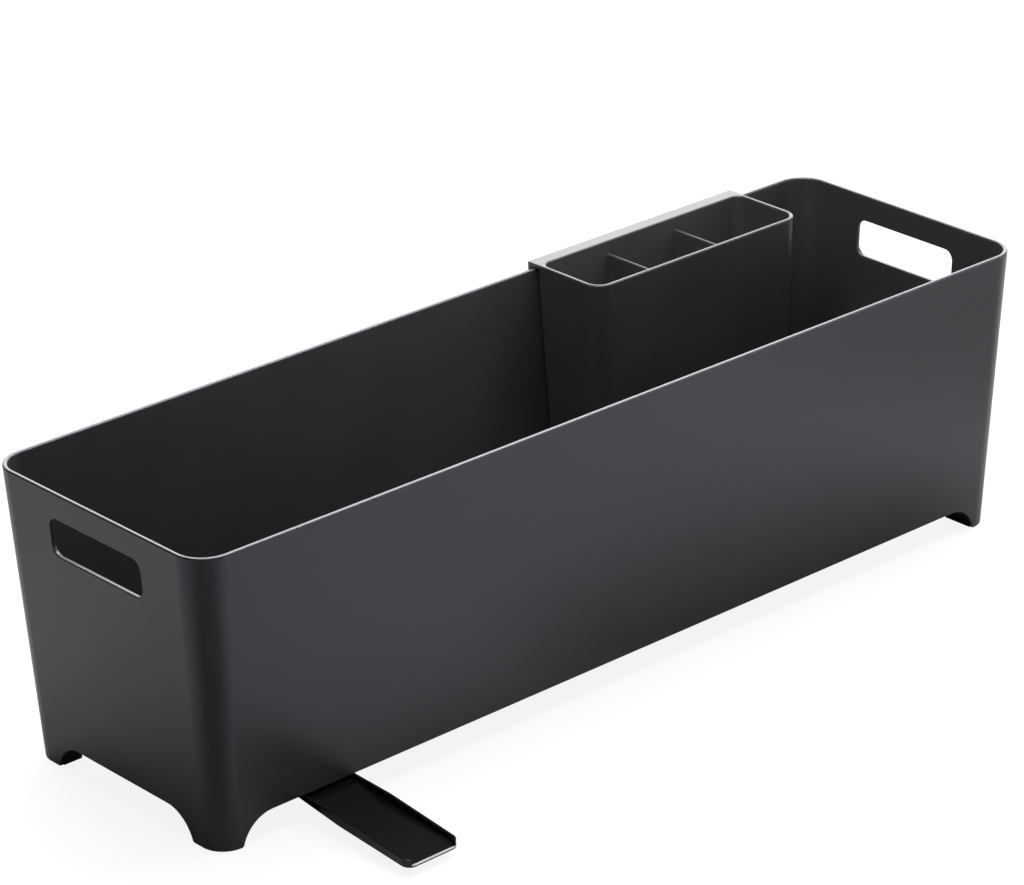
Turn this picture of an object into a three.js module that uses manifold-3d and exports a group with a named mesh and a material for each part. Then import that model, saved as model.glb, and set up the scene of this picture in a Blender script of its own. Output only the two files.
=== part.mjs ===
// A slim dish rack: a long drafted basket on four corner legs, with a cutlery holder hooked over its
// back rim, a loose drain grid on its floor and a drain spout that swivels under it.
// Millimetres, +Z up, +X along the length. The front is -Y and the ground is z = 0.
import * as THREE from 'three';
import { mergeVertices } from 'three/addons/utils/BufferGeometryUtils.js';
import Module from 'manifold-3d';

const wasm = await Module();
wasm.setup();

const degree = Math.PI / 180;

// Driving dimensions

// Basket
const rimLength = 500;
const rimWidth = 146.4;
const rimHeight = 143.4;
const endDraft = 3.55 * degree;
const sideDraft = 2.8 * degree;
const rimCornerRadius = 15.5;
const footCornerRadius = 12;
const wallThickness = 2.2;
const rimBevel = 0.6;
const floorThickness = 2.3;
const floorFall = 0.5 * degree;
const floorFilletRadius = 6;

// Legs, and the arches between them
const archHeight = 13.5;
const archCornerRadius = 16;
const endLegWidth = 18.7;
const sideLegWidth = 12.8;
const footEdgeRadius = 1.2;
const footWebThickness = 1.8;

// Hand slot in each end wall
const slotWidth = 63;
const slotHeight = 18.2;
const slotBelowRim = 12.8;
const slotCornerRadius = 5;

// Foot pads
const padHeight = 4.4;
const padProud = 0.6;
const padClearance = 0.3;
const padPegRadius = 1.7;
const padPegHeadRadius = 2.5;
const padPegHeadHeight = 1.2;

// Drain boss under the floor, and the spout's seal round it
const drainFromEnd = 70;
const drainBoreRadius = 8.5;
const bossRadius = 11;
const bossBeadRadius = 12.4;
const bossBeadHeight = 1.5;
const bossSlitWidth = 1.4;
const bossSlitHeight = 3.8;
const bossSeatRadius = 16.5;
const bossSeatHeight = 0.6;
const sealRadius = 15.5;
const sealThickness = 1.6;
const sealBevel = 0.4;

// Swivel spout
const spoutReach = 134.5;
const spoutWidth = 29.5;
const spoutWall = 1.5;
const spoutFloorThickness = 1.3;
const spoutTipRadius = 5.5;
const spoutMouthInset = 2.6;
const spoutSkirtClearance = 0.7;
const spoutNeckReach = 61;
const spoutNeckDepth = 2.1;
const spoutBendReach = 89;
const spoutBendDrop = 0.7;
const spoutBendDepth = 4.9;
const spoutTipDrop = 4.3;
const spoutTipDepth = 3.6;
const spoutHubRadius = 19;
const spoutHubRise = 1;
const spoutOutletGap = 1.8;
const spoutPlateThickness = 1.8;
const runningClearance = 0.35;
const seatClearance = 0.3;

// Cutlery holder
const holderLength = 135;
const holderFromEnd = 47.7;
const holderReach = 46;
const holderDepth = 88;
const holderWall = 2;
const holderFloor = 2;
const holderDraft = 1.5 * degree;
const holderFrontRadius = 9;
const holderBackRadius = 3;
const holderInnerBackRadius = 5;
const holderBottomBevel = 2.5;
const holderRimBevel = 0.5;
const holderDividerThickness = 1.6;
const holderDividerDrop = 6.3;
const holderHoleRadius = 2.8;
const holderHolePitch = 10.5;
const flangeThickness = 2.2;
const flangeLipDepth = 9;
const flangeLipThickness = 2.2;
const flangeLipClearance = 0.9;

// Drain grid
const gridClearance = 1.2;
const gridDepth = 3;
const gridFrameWidth = 4;
const gridBarWidth = 2.4;
const gridBarPitch = 15;
const gridStringerWidth = 3;
const gridStringerPitch = 36;
const gridCornerRadius = 10;
const gridAboveFloor = 8;
const gridSupportLength = 7;
const gridSupportDepth = 5;
const gridSupportPitch = 140;
const fingerHeight = 26;
const fingerRootRadius = 2.6;
const fingerTipRadius = 1.7;
const fingerPitch = 22;
const fingerRowFromEnd = 80;
const fingerRowSpacing = 105;

// Every cut runs this far past the face it opens
const overrun = 2;

// Counts and steps
const cornerSteps = 8;
const filletSteps = 3;
const roundSteps = 32;
const holeSteps = 8;
const fingersPerRow = 5;
const gridSupportsPerSide = 4;
const gridStringers = 3;
const holderCompartments = 3;
const holeRows = 3;
const holeColumns = 3;

// Worked out from the driving dimensions

const rimRadiusChange = (rimCornerRadius - footCornerRadius) / rimHeight;
const halfLengthAt = (z) => rimLength / 2 - Math.tan(endDraft) * (rimHeight - z);
const halfWidthAt = (z) => rimWidth / 2 - Math.tan(sideDraft) * (rimHeight - z);
const cornerRadiusAt = (z) => rimCornerRadius - rimRadiusChange * (rimHeight - z);

const legInnerX = halfLengthAt(0) - sideLegWidth;
const legInnerY = halfWidthAt(0) - endLegWidth;

const drainX = -rimLength / 2 + drainFromEnd;

// The spout's stations, from the arch's underside downwards
const neckTop = archHeight - spoutSkirtClearance;
const neckUnderside = neckTop - spoutNeckDepth;
const bendTop = neckTop - spoutBendDrop;
const bendUnderside = bendTop - spoutBendDepth;
const tipTop = bendTop - spoutTipDrop;
const tipUnderside = tipTop - spoutTipDepth;
const hubUnderside = neckUnderside + spoutHubRise;
const hubFloor = hubUnderside + spoutFloorThickness;

// The stack on the drain boss, from the spout's hub upwards
const bossEnd = hubFloor + spoutOutletGap;
const plateUnderside = bossEnd + bossBeadHeight + seatClearance;
const plateTop = plateUnderside + spoutPlateThickness;
const sealUnderside = plateTop + seatClearance;
const bossSeat = sealUnderside + sealThickness + seatClearance;
const floorUnderside = bossSeat + bossSeatHeight;
const floorTop = floorUnderside + floorThickness;

const gridUnderside = floorTop + gridAboveFloor;
const gridTop = gridUnderside + gridDepth;

const holderRight = rimLength / 2 - holderFromEnd;
const holderLeft = holderRight - holderLength;
const holderTop = rimHeight + seatClearance + flangeThickness;
const holderBottom = holderTop - holderDepth;
const holderFront = rimWidth / 2 - holderReach;
const lipInner = rimWidth / 2 + flangeLipClearance;
const lipOuter = lipInner + flangeLipThickness;

// The origin is midway between the spout's tip and the flange's lip
const originY = (lipOuter - spoutReach) / 2;

// Shared solid tools

function solid(geometry) {
  const bare = geometry.clone();
  bare.deleteAttribute('normal');
  bare.deleteAttribute('uv');
  const merged = mergeVertices(bare);
  const corners = merged.index.array;
  const faces = [];
  for (let i = 0; i < corners.length; i += 3) {
    const [a, b, c] = corners.slice(i, i + 3);
    if (a !== b && b !== c && c !== a) faces.push(a, b, c);
  }
  const mesh = new wasm.Mesh({
    numProp: 3,
    vertProperties: merged.attributes.position.array,
    triVerts: new Uint32Array(faces),
  });
  return new wasm.Manifold(mesh);
}

function joined(solids) {
  return solids.reduce((whole, piece) => whole.add(piece));
}

function meshOf(name, shape, material) {
  const { vertProperties, triVerts } = shape.getMesh();
  const geometry = new THREE.BufferGeometry();
  geometry.setAttribute('position', new THREE.BufferAttribute(new Float32Array(vertProperties), 3));
  geometry.setIndex(new THREE.BufferAttribute(new Uint32Array(triVerts), 1));
  geometry.computeVertexNormals();
  const mesh = new THREE.Mesh(geometry, material);
  mesh.name = name;
  return mesh;
}

// A rounded rectangle, counter-clockwise from the right end, with extra points at the stations
function outline({ left, right, front, back, frontRadius, backRadius, stations = [] }) {
  const corner = (x, y, radius, firstQuarter) => {
    const points = [];
    for (let step = 0; step <= cornerSteps; step++) {
      const angle = (firstQuarter + step / cornerSteps) * Math.PI / 2;
      points.push([x + radius * Math.cos(angle), y + radius * Math.sin(angle)]);
    }
    return points;
  };
  return [
    ...corner(right - backRadius, back - backRadius, backRadius, 0),
    ...stations.map((x) => [x, back]),
    ...corner(left + backRadius, back - backRadius, backRadius, 1),
    ...corner(left + frontRadius, front + frontRadius, frontRadius, 2),
    ...[...stations].reverse().map((x) => [x, front]),
    ...corner(right - frontRadius, front + frontRadius, frontRadius, 3),
  ];
}

// Skins rings of matching points from the lowest up, and closes both ends with strips across the width
function loft(rings) {
  const count = rings[0].length;
  const faces = [];
  for (let level = 0; level + 1 < rings.length; level++) {
    for (let i = 0; i < count; i++) {
      const a = level * count + i;
      const b = level * count + (i + 1) % count;
      faces.push(a, b, b + count, a, b + count, a + count);
    }
  }
  const top = (rings.length - 1) * count;
  for (let i = 0; i + 1 < count / 2; i++) {
    const [a, b, c, d] = [i, i + 1, count - 2 - i, count - 1 - i];
    faces.push(a, c, b, a, d, c);
    faces.push(top + a, top + b, top + c, top + a, top + c, top + d);
  }
  const geometry = new THREE.BufferGeometry();
  geometry.setAttribute('position', new THREE.Float32BufferAttribute(rings.flat(2), 3));
  geometry.setIndex(faces);
  return solid(geometry);
}

function block(x, y, z) {
  const [width, depth, height] = [x, y, z].map(([low, high]) => high - low);
  const [midX, midY, midZ] = [x, y, z].map(([low, high]) => (low + high) / 2);
  return solid(new THREE.BoxGeometry(width, depth, height).translate(midX, midY, midZ));
}

// The stretch of the given width round a middle
function around(middle, width) {
  return [middle - width / 2, middle + width / 2];
}

// The stretch from near to far on one side of zero
function outward(side, near, far) {
  return side < 0 ? [-far, -near] : [near, far];
}

function prismUp(shape, low, high) {
  const geometry = new THREE.ExtrudeGeometry(shape, {
    depth: high - low, bevelEnabled: false, curveSegments: cornerSteps,
  });
  return geometry.translate(0, 0, low);
}

// The shape's own axes become X and Z
function prismAlongY(shape, low, high) {
  return solid(prismUp(shape, -high, -low).rotateX(Math.PI / 2));
}

// The shape's own axes become Y and Z
function prismAlongX(shape, low, high) {
  return solid(prismUp(shape, low, high).rotateX(Math.PI / 2).rotateZ(Math.PI / 2));
}

// Turns a profile of [radius, z] points, which closes on itself or on the axis
function turned(profile, steps = roundSteps) {
  const points = profile.map(([radius, z]) => new THREE.Vector2(radius, z));
  return solid(new THREE.LatheGeometry(points, steps).rotateX(Math.PI / 2));
}

function roundBar(radius, low, high, steps = roundSteps) {
  return turned([[0, low], [radius, low], [radius, high], [0, high]], steps);
}

// Basket

function basketRing(z, inset, fall = 0) {
  const [halfX, halfY] = [halfLengthAt(z) - inset, halfWidthAt(z) - inset];
  const radius = cornerRadiusAt(z) - inset;
  const points = outline({
    left: -halfX, right: halfX, front: -halfY, back: halfY,
    frontRadius: radius, backRadius: radius, stations: [drainX],
  });
  return points.map(([x, y]) => [x, y, z + fall * Math.abs(x - drainX)]);
}

function basketEnvelope() {
  return loft([
    basketRing(padProud, 0),
    basketRing(rimHeight - rimBevel, 0),
    basketRing(rimHeight, rimBevel),
  ]);
}

// The hollow above the floor, whose floor falls to the drain from both ends
function basketHollow() {
  const fall = Math.tan(floorFall);
  const rings = [];
  for (let step = 0; step <= filletSteps; step++) {
    const angle = step / filletSteps * Math.PI / 2;
    const inset = wallThickness + floorFilletRadius * (1 - Math.sin(angle));
    rings.push(basketRing(floorTop + floorFilletRadius * (1 - Math.cos(angle)), inset, fall));
  }
  rings.push(basketRing(rimHeight - rimBevel, wallThickness));
  rings.push(basketRing(rimHeight, wallThickness - rimBevel));
  rings.push(basketRing(rimHeight + overrun, wallThickness - rimBevel));
  return loft(rings).subtract(gridSupports());
}

// Blocks along both long walls that carry the grid
function gridSupports() {
  const blocks = [];
  for (let index = 0; index < gridSupportsPerSide; index++) {
    const x = (index - (gridSupportsPerSide - 1) / 2) * gridSupportPitch;
    const inner = halfWidthAt(gridUnderside) - wallThickness - gridSupportDepth;
    for (const side of [-1, 1]) {
      blocks.push(block(
        around(x, gridSupportLength),
        outward(side, inner, rimWidth / 2),
        [floorUnderside, gridUnderside - seatClearance],
      ));
    }
  }
  return joined(blocks);
}

function underFloorHollow() {
  return loft([
    basketRing(padProud - overrun, wallThickness),
    basketRing(floorUnderside, wallThickness, Math.tan(floorFall)),
  ]);
}

// The opening between two legs. Its round corners run down to the feet, whose own edges are round too,
// and where a corner meets a foot before it is upright, the two arcs touch along the lean.
function archShape(halfSpan) {
  const [middle, height] = [halfSpan - archCornerRadius, archHeight - archCornerRadius];
  const footHeight = padProud + footEdgeRadius;
  const reach = archCornerRadius + footEdgeRadius;
  const lean = Math.asin(Math.max(footHeight - height, 0) / reach);
  const foot = middle + reach * Math.cos(lean);
  const shape = new THREE.Shape();
  shape.moveTo(-foot, padProud - overrun);
  shape.lineTo(-foot, padProud);
  shape.absarc(-foot, footHeight, footEdgeRadius, -Math.PI / 2, -lean, false);
  shape.absarc(-middle, height, archCornerRadius, Math.PI - lean, Math.PI / 2, true);
  shape.absarc(middle, height, archCornerRadius, Math.PI / 2, lean, true);
  shape.absarc(foot, footHeight, footEdgeRadius, Math.PI + lean, Math.PI * 3 / 2, false);
  shape.lineTo(foot, padProud - overrun);
  shape.closePath();
  return shape;
}

function handSlot() {
  const [low, high] = [rimHeight - slotBelowRim - slotHeight, rimHeight - slotBelowRim];
  const [half, radius] = [slotWidth / 2, slotCornerRadius];
  const shape = new THREE.Shape();
  shape.absarc(half - radius, high - radius, radius, 0, Math.PI / 2, false);
  shape.absarc(-half + radius, high - radius, radius, Math.PI / 2, Math.PI, false);
  shape.absarc(-half + radius, low + radius, radius, Math.PI, Math.PI * 3 / 2, false);
  shape.absarc(half - radius, low + radius, radius, Math.PI * 3 / 2, Math.PI * 2, false);
  shape.closePath();
  return shape;
}

// A shelf in each leg, which the foot pad's peg goes through
function footWebs() {
  const [low, high] = [padHeight + padClearance, padHeight + padClearance + footWebThickness];
  const slab = loft([basketRing(low, wallThickness / 2), basketRing(high, wallThickness / 2)]);
  const corners = [];
  for (const sideX of [-1, 1]) {
    for (const sideY of [-1, 1]) {
      const x = outward(sideX, legInnerX, rimLength / 2);
      const y = outward(sideY, legInnerY, rimWidth / 2);
      const hole = roundBar(padPegRadius + padClearance, low - overrun, high + overrun, holeSteps);
      corners.push(block(x, y, [low, high]).subtract(hole.translate(pegPlace(sideX, sideY))));
    }
  }
  return slab.intersect(joined(corners));
}

function pegPlace(sideX, sideY) {
  const x = (legInnerX + halfLengthAt(0) - wallThickness) / 2;
  const y = (legInnerY + halfWidthAt(0) - wallThickness) / 2;
  return [sideX * x, sideY * y, 0];
}

// The boss that the spout turns on, with a bead under the spout's plate and slits that let it spring
function drainBoss() {
  const boss = turned([
    [0, bossEnd],
    [bossRadius, bossEnd],
    [bossBeadRadius, bossEnd + bossBeadHeight / 2],
    [bossBeadRadius, bossEnd + bossBeadHeight],
    [bossRadius, bossEnd + bossBeadHeight],
    [bossRadius, bossSeat],
    [bossSeatRadius, bossSeat],
    [bossSeatRadius, floorUnderside + floorThickness / 2],
    [0, floorUnderside + floorThickness / 2],
  ]);
  const half = bossSlitWidth / 2;
  const reach = bossBeadRadius + overrun;
  const height = [bossEnd - overrun, bossEnd + bossSlitHeight];
  return boss
    .subtract(block([-half, half], [-reach, reach], height))
    .subtract(block([-reach, reach], [-half, half], height));
}

function makeBasket() {
  const pastEnds = rimLength / 2 + overrun;
  const pastSides = rimWidth / 2 + overrun;
  const drainBore = roundBar(drainBoreRadius, bossEnd - overrun, floorTop + overrun);
  return basketEnvelope()
    .subtract(basketHollow())
    .subtract(underFloorHollow())
    .add(footWebs())
    .add(drainBoss().translate([drainX, 0, 0]))
    .subtract(drainBore.translate([drainX, 0, 0]))
    .subtract(prismAlongY(archShape(legInnerX), -pastSides, pastSides))
    .subtract(prismAlongX(archShape(legInnerY), -pastEnds, pastEnds))
    .subtract(prismAlongX(handSlot(), -pastEnds, pastEnds));
}

// Foot pad: a soft block that fills the leg, with a peg that snaps through the web

function makeFootPad(sideX, sideY) {
  const inset = wallThickness + padClearance;
  const slab = loft([basketRing(0, inset), basketRing(padHeight, inset)]);
  const x = outward(sideX, legInnerX + padClearance, rimLength / 2);
  const y = outward(sideY, legInnerY + padClearance, rimWidth / 2);
  const headLow = padHeight + footWebThickness + padClearance * 2;
  const peg = turned([
    [0, padHeight / 2],
    [padPegRadius, padHeight / 2],
    [padPegRadius, headLow],
    [padPegHeadRadius, headLow],
    [padPegRadius, headLow + padPegHeadHeight],
    [0, headLow + padPegHeadHeight],
  ], holeSteps);
  return slab.intersect(block(x, y, [0, padHeight])).add(peg.translate(pegPlace(sideX, sideY)));
}

// Spout

// A side view of [distance from the drain's axis, z] points becomes a slab of the given width
function spoutSlab(points, halfWidth) {
  const shape = new THREE.Shape(points.map(([reach, z]) => new THREE.Vector2(-reach, z)));
  return prismAlongX(shape, -halfWidth, halfWidth);
}

// The channel's plan, from the drain's axis to a tip with round corners
function spoutPlan(inset, radius) {
  const half = spoutWidth / 2 - inset;
  const tip = -spoutReach + inset;
  const shape = new THREE.Shape();
  shape.moveTo(half, 0);
  shape.lineTo(-half, 0);
  shape.absarc(-half + radius, tip + radius, radius, Math.PI, Math.PI * 3 / 2, false);
  shape.absarc(half - radius, tip + radius, radius, Math.PI * 3 / 2, Math.PI * 2, false);
  shape.closePath();
  return solid(prismUp(shape, 0, plateTop + overrun));
}

function makeSpout() {
  const outside = spoutSlab([
    [0, hubUnderside],
    [spoutNeckReach, neckUnderside],
    [spoutBendReach, bendUnderside],
    [spoutReach, tipUnderside],
    [spoutReach, tipTop],
    [spoutBendReach, bendTop],
    [spoutNeckReach, neckTop],
    [spoutHubRadius, plateUnderside],
    [0, plateUnderside],
  ], spoutWidth / 2).intersect(spoutPlan(0, spoutTipRadius));

  const tipFall = (bendUnderside - tipUnderside) / (spoutReach - spoutBendReach);
  const pastTip = spoutReach + overrun;
  const flow = [
    [0, hubFloor],
    [spoutNeckReach, neckUnderside + spoutFloorThickness],
    [spoutBendReach, bendUnderside + spoutFloorThickness],
    [pastTip, tipUnderside + spoutFloorThickness - tipFall * overrun],
    [pastTip, plateTop + overrun],
    [spoutHubRadius, plateTop + overrun],
    [spoutHubRadius, plateUnderside],
    [0, plateUnderside],
  ];
  const channel = spoutSlab(flow, spoutWidth / 2)
    .intersect(spoutPlan(spoutWall, spoutTipRadius - spoutWall));
  const mouthLow = [spoutBendReach, bendUnderside + spoutFloorThickness];
  const mouth = spoutSlab(
    [mouthLow, ...flow.slice(3, 5), [spoutBendReach, plateTop + overrun]],
    spoutWidth / 2 - spoutMouthInset,
  );

  const hub = roundBar(spoutHubRadius, hubUnderside, plateTop);
  const dish = roundBar(spoutHubRadius - spoutWall, hubFloor, plateUnderside);
  const bore = roundBar(bossRadius + runningClearance, plateUnderside - overrun, plateTop + overrun);
  return outside.add(hub)
    .subtract(channel)
    .subtract(mouth)
    .subtract(dish)
    .subtract(bore);
}

function makeSeal() {
  const [inner, outer] = [bossRadius + seatClearance, sealRadius];
  const [low, high] = [sealUnderside, sealUnderside + sealThickness];
  return turned([
    [inner, low + sealBevel],
    [inner + sealBevel, low],
    [outer - sealBevel, low],
    [outer, low + sealBevel],
    [outer, high - sealBevel],
    [outer - sealBevel, high],
    [inner + sealBevel, high],
    [inner, high - sealBevel],
    [inner, low + sealBevel],
  ]);
}

// Cutlery holder

// The front and the ends lean by the holder's own draft, and the back follows the basket's wall
function holderRing(z, inset, frontRadius, backRadius) {
  const lean = Math.tan(holderDraft) * (holderTop - z) + inset;
  const height = Math.min(z, rimHeight);
  const points = outline({
    left: holderLeft + lean,
    right: holderRight - lean,
    front: holderFront + lean,
    back: halfWidthAt(height) - wallThickness - seatClearance - inset,
    frontRadius,
    backRadius,
  });
  return points.map(([x, y]) => [x, y, z]);
}

function holderBox() {
  const radii = [holderFrontRadius, holderBackRadius];
  return loft([
    holderRing(holderBottom, holderBottomBevel, ...radii),
    holderRing(holderBottom + holderBottomBevel, 0, ...radii),
    holderRing(rimHeight, 0, ...radii),
    holderRing(holderTop - holderRimBevel, 0, ...radii),
    holderRing(holderTop, holderRimBevel, ...radii),
  ]);
}

function holderHollow() {
  const radii = [holderFrontRadius - holderWall, holderInnerBackRadius];
  const floor = holderBottom + holderFloor;
  const hollow = loft([
    holderRing(floor, holderWall + holderBottomBevel, ...radii),
    holderRing(floor + holderBottomBevel, holderWall, ...radii),
    holderRing(rimHeight, holderWall, ...radii),
    holderRing(holderTop + overrun, holderWall, ...radii),
  ]);
  const pitch = holderLength / holderCompartments;
  const dividers = [];
  for (let index = 1; index < holderCompartments; index++) {
    const x = holderLeft + pitch * index;
    dividers.push(block(
      around(x, holderDividerThickness),
      [holderFront, rimWidth / 2],
      [holderBottom, holderTop - holderDividerDrop],
    ));
  }
  return hollow.subtract(joined(dividers));
}

function holderDrainHoles() {
  const holes = [];
  const pitch = holderLength / holderCompartments;
  const front = holderFront + Math.tan(holderDraft) * holderDepth;
  const back = halfWidthAt(holderBottom) - wallThickness - seatClearance;
  const top = holderBottom + holderFloor + overrun;
  const hole = roundBar(holderHoleRadius, holderBottom - overrun, top, holeSteps);
  for (let compartment = 0; compartment < holderCompartments; compartment++) {
    const midX = holderLeft + pitch * (compartment + 1 / 2);
    for (let row = 0; row < holeRows; row++) {
      for (let column = 0; column < holeColumns; column++) {
        const x = midX + holderHolePitch * (column - (holeColumns - 1) / 2);
        const y = (front + back) / 2 + holderHolePitch * (row - (holeRows - 1) / 2);
        holes.push(hole.translate([x, y, 0]));
      }
    }
  }
  return joined(holes);
}

// The flat flange over the rim, with a lip down the outside of the wall
function holderFlange() {
  const length = [holderLeft, holderRight];
  const inner = halfWidthAt(rimHeight) - wallThickness - seatClearance - holderWall;
  const flange = block(length, [inner, lipOuter], [holderTop - flangeThickness, holderTop]);
  const lip = block(length, [lipInner, lipOuter], [holderTop - flangeLipDepth, holderTop]);
  return flange.add(lip);
}

function makeHolder() {
  return holderBox().add(holderFlange()).subtract(holderHollow()).subtract(holderDrainHoles());
}

// Drain grid

function gridOutline(z, inset) {
  const halfX = halfLengthAt(gridUnderside) - wallThickness - gridClearance - inset;
  const halfY = halfWidthAt(gridUnderside) - wallThickness - gridClearance - inset;
  const radius = gridCornerRadius - inset;
  const points = outline({
    left: -halfX, right: halfX, front: -halfY, back: halfY, frontRadius: radius, backRadius: radius,
  });
  return points.map(([x, y]) => [x, y, z]);
}

function finger(x, y) {
  return turned([
    [0, gridUnderside],
    [fingerRootRadius, gridUnderside],
    [fingerRootRadius, gridTop],
    [fingerTipRadius, gridTop + fingerHeight - fingerTipRadius],
    [fingerTipRadius / 2, gridTop + fingerHeight],
    [0, gridTop + fingerHeight],
  ], holeSteps).translate([x, y, 0]);
}

function makeGrid() {
  const slab = loft([gridOutline(gridUnderside, 0), gridOutline(gridTop, 0)]);
  const hollow = loft([
    gridOutline(gridUnderside - overrun, gridFrameWidth),
    gridOutline(gridTop + overrun, gridFrameWidth),
  ]);
  const halfX = halfLengthAt(gridUnderside);
  const halfY = halfWidthAt(gridUnderside);
  const height = [gridUnderside, gridTop];
  const bars = [];
  const barsEachWay = Math.floor(halfX / gridBarPitch);
  for (let index = -barsEachWay; index <= barsEachWay; index++) {
    const x = index * gridBarPitch;
    bars.push(block(around(x, gridBarWidth), [-halfY, halfY], height));
  }
  for (let index = 0; index < gridStringers; index++) {
    const y = (index - (gridStringers - 1) / 2) * gridStringerPitch;
    bars.push(block([-halfX, halfX], around(y, gridStringerWidth), height));
  }
  const fingers = [];
  for (const row of [0, 1]) {
    const x = -rimLength / 2 + fingerRowFromEnd + row * fingerRowSpacing;
    bars.push(block(around(x, fingerRootRadius * 2), [-halfY, halfY], height));
    for (let index = 0; index < fingersPerRow; index++) {
      fingers.push(finger(x, (index - (fingersPerRow - 1) / 2) * fingerPitch));
    }
  }
  return slab.subtract(hollow).add(slab.intersect(joined(bars))).add(joined(fingers));
}

// Materials

const plastic = (color, roughness) => new THREE.MeshStandardMaterial({ color, roughness, metalness: 0 });
const basketPlastic = plastic(0x46464a, 0.5);
const holderPlastic = plastic(0x2c2c2d, 0.42);
const gridPlastic = plastic(0x303032, 0.5);
const spoutPlastic = plastic(0x141414, 0.15);
const rubber = plastic(0x1a1a1a, 0.85);

// Assembly

const dishRack = new THREE.Group();
dishRack.position.y = -originY;

const sides = { left: -1, right: 1, front: -1, back: 1 };
dishRack.add(meshOf('basket_body', makeBasket(), basketPlastic.clone()));
dishRack.add(meshOf('cutlery_holder', makeHolder(), holderPlastic.clone()));
dishRack.add(meshOf('drain_grid', makeGrid(), gridPlastic.clone()));
for (const alongY of ['front', 'back']) {
  for (const alongX of ['left', 'right']) {
    const pad = makeFootPad(sides[alongX], sides[alongY]);
    dishRack.add(meshOf(`foot_pad_${alongY}_${alongX}`, pad, rubber.clone()));
  }
}

const drain = new THREE.Group();
drain.position.x = drainX;
drain.add(meshOf('drain_spout', makeSpout(), spoutPlastic.clone()));
drain.add(meshOf('spout_seal', makeSeal(), rubber.clone()));
dishRack.add(drain);

export default dishRack;
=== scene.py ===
"""A slim dish rack in charcoal plastic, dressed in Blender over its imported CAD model.

The sizes are in millimetres, as on the part's drawing: the basket is centred on x = 0 and y = 0 and
stands on z = 0. Every mesh is moved to the model's own origin, and scaled to metres, when it is done.
"""
import math
from contextlib import contextmanager

import bmesh
import bpy
from mathutils import Matrix, Vector


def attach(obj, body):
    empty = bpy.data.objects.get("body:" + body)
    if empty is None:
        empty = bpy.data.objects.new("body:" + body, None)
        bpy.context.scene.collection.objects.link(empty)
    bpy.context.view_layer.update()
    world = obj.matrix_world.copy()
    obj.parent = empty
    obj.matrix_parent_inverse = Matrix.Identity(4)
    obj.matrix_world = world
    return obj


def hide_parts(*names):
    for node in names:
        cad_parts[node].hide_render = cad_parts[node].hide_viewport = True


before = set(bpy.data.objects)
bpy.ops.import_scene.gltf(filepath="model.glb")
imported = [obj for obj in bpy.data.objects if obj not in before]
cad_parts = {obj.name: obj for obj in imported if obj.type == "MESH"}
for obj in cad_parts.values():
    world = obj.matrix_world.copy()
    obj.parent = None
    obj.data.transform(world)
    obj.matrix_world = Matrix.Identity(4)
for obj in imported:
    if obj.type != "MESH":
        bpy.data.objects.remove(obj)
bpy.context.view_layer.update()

MM = 0.001

# Basket
RIM_LENGTH = 500
RIM_WIDTH = 146.4
RIM_HEIGHT = 143.4
END_DRAFT = math.radians(3.55)
SIDE_DRAFT = math.radians(2.8)
RIM_CORNER_RADIUS = 15.5
FOOT_CORNER_RADIUS = 12
WALL = 2.2
RIM_ROUND = 0.8
EDGE_ROUND = 0.6
FLOOR = 2.3
FLOOR_FALL = math.radians(0.5)
FLOOR_FILLET = 6

# Legs, arches and hand slots
ARCH_HEIGHT = 13.5
ARCH_RADIUS = 16
END_LEG_WIDTH = 18.7
SIDE_LEG_WIDTH = 12.8
FOOT_EDGE_RADIUS = 1.2
FOOT_ROUND = 0.4
FOOT_WEB = 1.8
PAD_HEIGHT = 4.4
PAD_PROUD = 0.6
PAD_CLEARANCE = 0.3
SLOT_WIDTH = 63
SLOT_HEIGHT = 18.2
SLOT_BELOW_RIM = 12.8
SLOT_RADIUS = 5

# Drain
DRAIN_FROM_END = 70
DRAIN_BORE_RADIUS = 8.5
DRAIN_MOUTH_ROUND = 1
BOSS_RADIUS = 11
BEAD_RADIUS = 12.4
BEAD_HEIGHT = 1.5
SLIT_WIDTH = 1.4
SLIT_HEIGHT = 3.8
SEAT_RADIUS = 16.5
BOSS_END = 14.8
BOSS_SEAT = 20.6
FLOOR_UNDERSIDE = 21.2

# Swivel spout. Its reaches run out from the drain's axis, and each drop is from the part before it.
SPOUT_REACH = 134.5
SPOUT_WIDTH = 29.5
SPOUT_WALL = 1.5
SPOUT_FLOOR = 1.3
SPOUT_TIP_RADIUS = 4.5
SPOUT_MOUTH_INSET = 2.6
SPOUT_SKIRT_CLEARANCE = 0.7
SPOUT_NECK_REACH = 61
SPOUT_NECK_DEPTH = 2.1
SPOUT_BEND_REACH = 89
SPOUT_BEND_DROP = 0.7
SPOUT_BEND_DEPTH = 4.9
SPOUT_TIP_DROP = 4.3
SPOUT_TIP_DEPTH = 3.6
SPOUT_HUB_RADIUS = 19
SPOUT_HUB_RISE = 1
SPOUT_ROOT_REACH = 2
SPOUT_PLATE = 1.8
SPOUT_RUNNING_CLEARANCE = 0.35
SPOUT_ROUND = 0.3
SPOUT_FILLET = 0.45
SPOUT_NOSE = 0.75
SPOUT_NOSE_DROP = 0.51
SPOUT_NOSE_EASE = 0.12

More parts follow.
